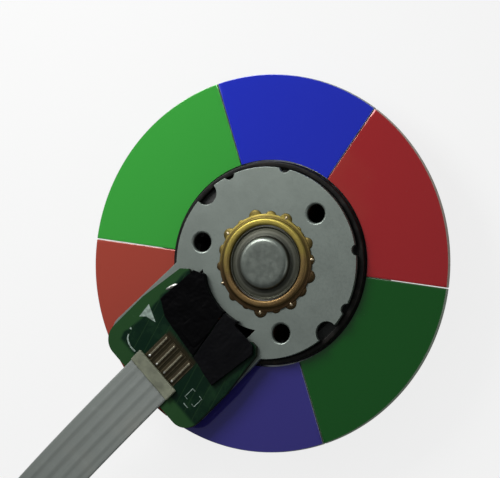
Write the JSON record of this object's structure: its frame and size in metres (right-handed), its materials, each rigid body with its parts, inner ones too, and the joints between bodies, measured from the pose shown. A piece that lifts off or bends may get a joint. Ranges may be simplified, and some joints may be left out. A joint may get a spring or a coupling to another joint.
{
  "type": "projector color wheel",
  "caption": "Small flat motor with a ring of red, blue and green glass filter segments, a slotted base plate and a flat ribbon cable.",
  "frame": {"origin": "on the spin axis, at the hub's front face, which the part stands on", "axes": "+Z along the spin axis towards the base plate; the plate's tongue and the ribbon cable point along -Y; +X completes the frame"},
  "size_m": [0.04, 0.098, 0.0078],
  "materials": {
    "hub_aluminium": "turned",
    "putty": "matte",
    "timing_mark": "matte",
    "clear_glue": "gloss",
    "black_can": "black coating",
    "magnet": "matte",
    "shaft_steel": "ground",
    "spring_steel": "satin",
    "bearing_steel": "ground",
    "cage_steel": "satin",
    "plate_steel": "satin zinc",
    "housing_brass": "turned",
    "cap_steel": "satin",
    "core_steel": "laminated",
    "dark_insulator": "matte",
    "copper_wire": "enamelled",
    "green_board": "solder mask",
    "tin": "tinned",
    "black_tape": "matte",
    "grey_tape": "matte",
    "cream_bar": "matte",
    "white_ribbon": "satin",
    "blue_tab": "satin",
    "red_glass": "dichroic coating",
    "blue_glass": "dichroic coating",
    "green_glass": "dichroic coating"
  },
  "bodies": {
    "motor_base": {"base_plate": "plate_steel", "bearing_housing": "housing_brass", "end_cap": "cap_steel", "lower_outer_race": "bearing_steel", "upper_outer_race": "bearing_steel", "preload_spring": "spring_steel", "stator_core": "core_steel", "lower_insulator": "dark_insulator", "upper_insulator": "dark_insulator", "stator_coils": "copper_wire", "coil_leads": "copper_wire", "circuit_board": "green_board", "solder_pads": "tin", "lead_cover_black": "black_tape", "lead_cover_grey": "grey_tape", "ffc_conductors": "tin", "ffc_stiffener": "cream_bar", "ffc_cable": "white_ribbon", "ffc_end_stiffener": "blue_tab", "ffc_end_contacts": "tin"},
    "wheel": {"hub_carrier": "hub_aluminium", "balance_putty": "putty", "index_mark": "timing_mark", "adhesive_ring": "clear_glue", "red_glass_a": "red_glass", "blue_glass_a": "blue_glass", "green_glass_a": "green_glass", "red_glass_b": "red_glass", "blue_glass_b": "blue_glass", "green_glass_b": "green_glass", "rotor_can": "black_can", "magnet_ring": "magnet", "shaft": "shaft_steel", "retaining_clip": "spring_steel", "thrust_spacer": "spring_steel", "lower_inner_race": "bearing_steel", "upper_inner_race": "bearing_steel"},
    "ball_cages": {"lower_cage": "cage_steel", "upper_cage": "cage_steel", "lower_balls": "bearing_steel", "upper_balls": "bearing_steel"}
  },
  "joints": [
    {"name": "wheel_spin", "type": "hinge", "parent": "motor_base", "child": "wheel", "pos_m": [0, 0, 0.004], "axis": [0, 0, 1], "continuous": true},
    {"name": "cage_spin", "type": "hinge", "parent": "motor_base", "child": "ball_cages", "pos_m": [0, 0, 0.004], "axis": [0, 0, 1], "continuous": true}
  ],
  "couplings": [
    {"joint": "cage_spin", "follows": "wheel_spin", "ratio": 0.3938}
  ]
}
